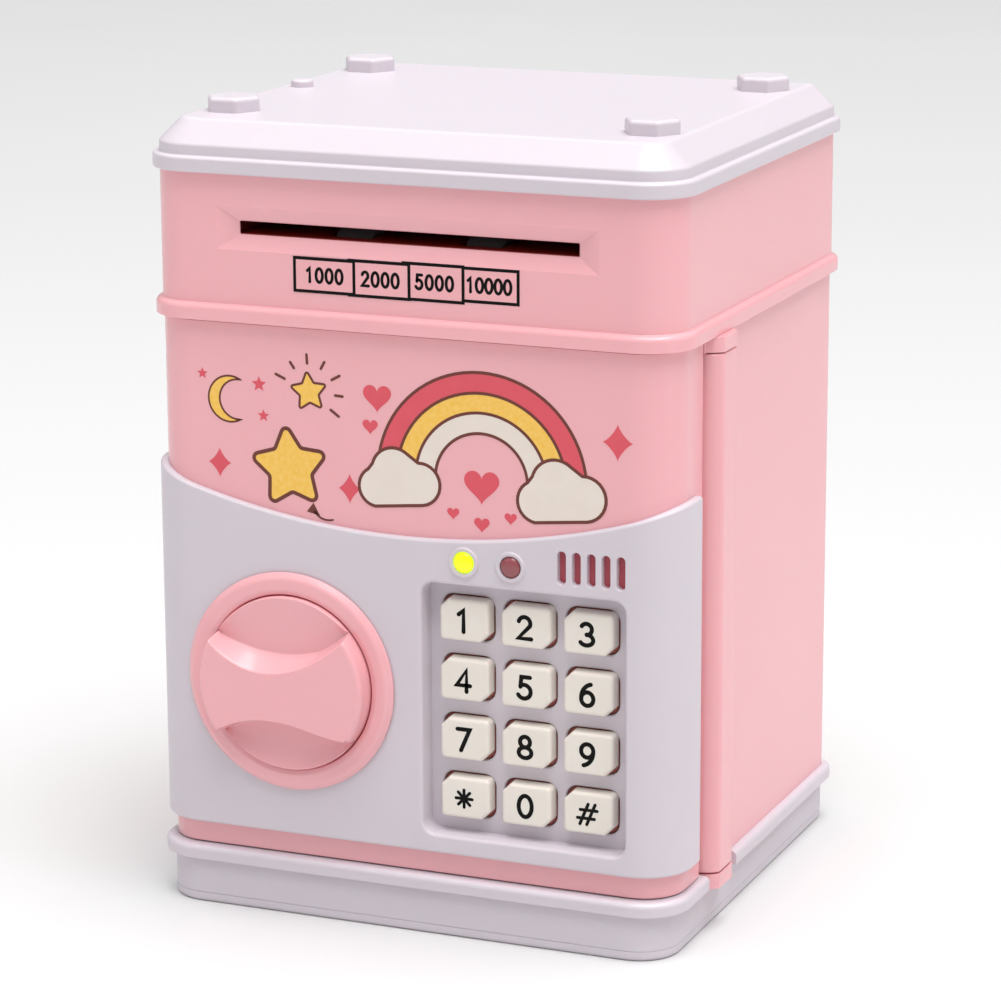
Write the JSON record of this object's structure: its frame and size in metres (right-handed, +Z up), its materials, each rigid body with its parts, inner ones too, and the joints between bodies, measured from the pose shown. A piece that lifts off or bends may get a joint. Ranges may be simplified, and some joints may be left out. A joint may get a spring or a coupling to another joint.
{
  "type": "toy safe coin bank",
  "caption": "Box-shaped toy safe money bank with a hinged front door, number keypad, turning lock knob and a motor-driven banknote slot.",
  "frame": {"origin": "middle of the base's underside, on the surface it stands on", "axes": "+Z up, the door faces -Y, +X to the right when looking at the door"},
  "size_m": [0.1337, 0.1268, 0.1895],
  "materials": {
    "white_abs": "moulded lavender-white ABS, satin",
    "pink_abs": "moulded pink ABS, satin gloss",
    "key_plastic": "moulded warm white keys with printed symbols",
    "screw_steel": "zinc-plated steel",
    "black_abs": "black moulded ABS",
    "white_acetal": "natural white acetal",
    "grey_rubber": "dark grey rubber tyre",
    "membrane_rubber": "red silicone sheet",
    "circuit_board": "green solder mask",
    "motor_can": "plated steel can",
    "contact_brass": "plated spring brass",
    "cell_jacket": "printed steel jacket",
    "green_lens": "lit yellow-green lens",
    "red_lens": "unlit dark red lens"
  },
  "bodies": {
    "safe_body": {"base_tray": "white_abs", "base_plate": "white_abs", "base_screws": "screw_steel", "battery_cover": "white_abs", "battery_cover_screw": "screw_steel", "battery_cells": "cell_jacket", "battery_contacts": "contact_brass", "body_shell": "pink_abs", "hinge_pins": "screw_steel", "head_shell": "pink_abs", "head_screws": "screw_steel", "top_cap": "white_abs", "cap_screws": "screw_steel", "bill_guide": "black_abs", "bill_guide_roof": "black_abs", "feed_motor": "motor_can", "sensor_board": "circuit_board"},
    "door": {"door_panel": "pink_abs", "door_fascia": "white_abs", "door_back_cover": "pink_abs", "door_screws": "screw_steel", "knob_ring": "pink_abs", "led_green": "green_lens", "led_red": "red_lens", "speaker": "motor_can", "keypad_membrane": "membrane_rubber", "keypad_board": "circuit_board", "control_board": "circuit_board", "bolt_guides": "black_abs", "lock_solenoid": "motor_can"},
    "knob": {"knob": "pink_abs", "knob_pinion": "white_acetal"},
    "lock_bolt": {"lock_bolt": "white_acetal"},
    "lock_plunger": {"lock_plunger": "screw_steel"},
    "drive_roller_set": {"drive_shaft": "screw_steel", "drive_rollers": "grey_rubber", "drive_gear": "white_acetal"},
    "idler_roller_set": {"idler_shaft": "screw_steel", "idler_rollers": "grey_rubber"},
    "motor_rotor": {"motor_pinion": "white_acetal"},
    "key_1": {"key_1": "key_plastic"},
    "key_2": {"key_2": "key_plastic"},
    "key_3": {"key_3": "key_plastic"},
    "key_4": {"key_4": "key_plastic"},
    "key_5": {"key_5": "key_plastic"},
    "key_6": {"key_6": "key_plastic"},
    "key_7": {"key_7": "key_plastic"},
    "key_8": {"key_8": "key_plastic"},
    "key_9": {"key_9": "key_plastic"},
    "key_star": {"key_star": "key_plastic"},
    "key_0": {"key_0": "key_plastic"},
    "key_hash": {"key_hash": "key_plastic"}
  },
  "joints": [
    {"name": "door_swing", "type": "hinge", "parent": "safe_body", "child": "door", "pos_m": [0.06255, -0.03, 0.07], "axis": [0, 0, 1], "range_deg": [0, 105]},
    {"name": "knob_turn", "type": "hinge", "parent": "door", "child": "knob", "pos_m": [-0.0287, -0.0582, 0.0572], "axis": [0, -1, 0], "range_deg": [0, 90]},
    {"name": "bolt_slide", "type": "slide", "parent": "door", "child": "lock_bolt", "axis": [-1, 0, 0], "range_m": [0, 0.01257]},
    {"name": "plunger_slide", "type": "slide", "parent": "door", "child": "lock_plunger", "axis": [0, 0, -1], "range_m": [0, 0.003], "stiffness_N_per_m": 200, "springref_m": -0.001},
    {"name": "drive_spin", "type": "hinge", "parent": "safe_body", "child": "drive_roller_set", "pos_m": [0, -0.046, 0.15705], "axis": [1, 0, 0], "continuous": true},
    {"name": "idler_spin", "type": "hinge", "parent": "safe_body", "child": "idler_roller_set", "pos_m": [0, -0.046, 0.16635], "axis": [1, 0, 0], "continuous": true},
    {"name": "motor_spin", "type": "hinge", "parent": "safe_body", "child": "motor_rotor", "pos_m": [0.045, -0.03605, 0.15009], "axis": [1, 0, 0], "continuous": true},
    {"name": "key_1_press", "type": "slide", "parent": "door", "child": "key_1", "axis": [0, 1, 0], "range_m": [0, 0.0014], "stiffness_N_per_m": 300},
    {"name": "key_2_press", "type": "slide", "parent": "door", "child": "key_2", "axis": [0, 1, 0], "range_m": [0, 0.0014], "stiffness_N_per_m": 300},
    {"name": "key_3_press", "type": "slide", "parent": "door", "child": "key_3", "axis": [0, 1, 0], "range_m": [0, 0.0014], "stiffness_N_per_m": 300},
    {"name": "key_4_press", "type": "slide", "parent": "door", "child": "key_4", "axis": [0, 1, 0], "range_m": [0, 0.0014], "stiffness_N_per_m": 300},
    {"name": "key_5_press", "type": "slide", "parent": "door", "child": "key_5", "axis": [0, 1, 0], "range_m": [0, 0.0014], "stiffness_N_per_m": 300},
    {"name": "key_6_press", "type": "slide", "parent": "door", "child": "key_6", "axis": [0, 1, 0], "range_m": [0, 0.0014], "stiffness_N_per_m": 300},
    {"name": "key_7_press", "type": "slide", "parent": "door", "child": "key_7", "axis": [0, 1, 0], "range_m": [0, 0.0014], "stiffness_N_per_m": 300},
    {"name": "key_8_press", "type": "slide", "parent": "door", "child": "key_8", "axis": [0, 1, 0], "range_m": [0, 0.0014], "stiffness_N_per_m": 300},
    {"name": "key_9_press", "type": "slide", "parent": "door", "child": "key_9", "axis": [0, 1, 0], "range_m": [0, 0.0014], "stiffness_N_per_m": 300},
    {"name": "key_star_press", "type": "slide", "parent": "door", "child": "key_star", "axis": [0, 1, 0], "range_m": [0, 0.0014], "stiffness_N_per_m": 300},
    {"name": "key_0_press", "type": "slide", "parent": "door", "child": "key_0", "axis": [0, 1, 0], "range_m": [0, 0.0014], "stiffness_N_per_m": 300},
    {"name": "key_hash_press", "type": "slide", "parent": "door", "child": "key_hash", "axis": [0, 1, 0], "range_m": [0, 0.0014], "stiffness_N_per_m": 300}
  ],
  "couplings": [
    {"joint": "knob_turn", "follows": "bolt_slide", "rad_per_m": 125},
    {"joint": "idler_spin", "follows": "drive_spin", "ratio": -1.25},
    {"joint": "motor_spin", "follows": "drive_spin", "ratio": -2}
  ]
}
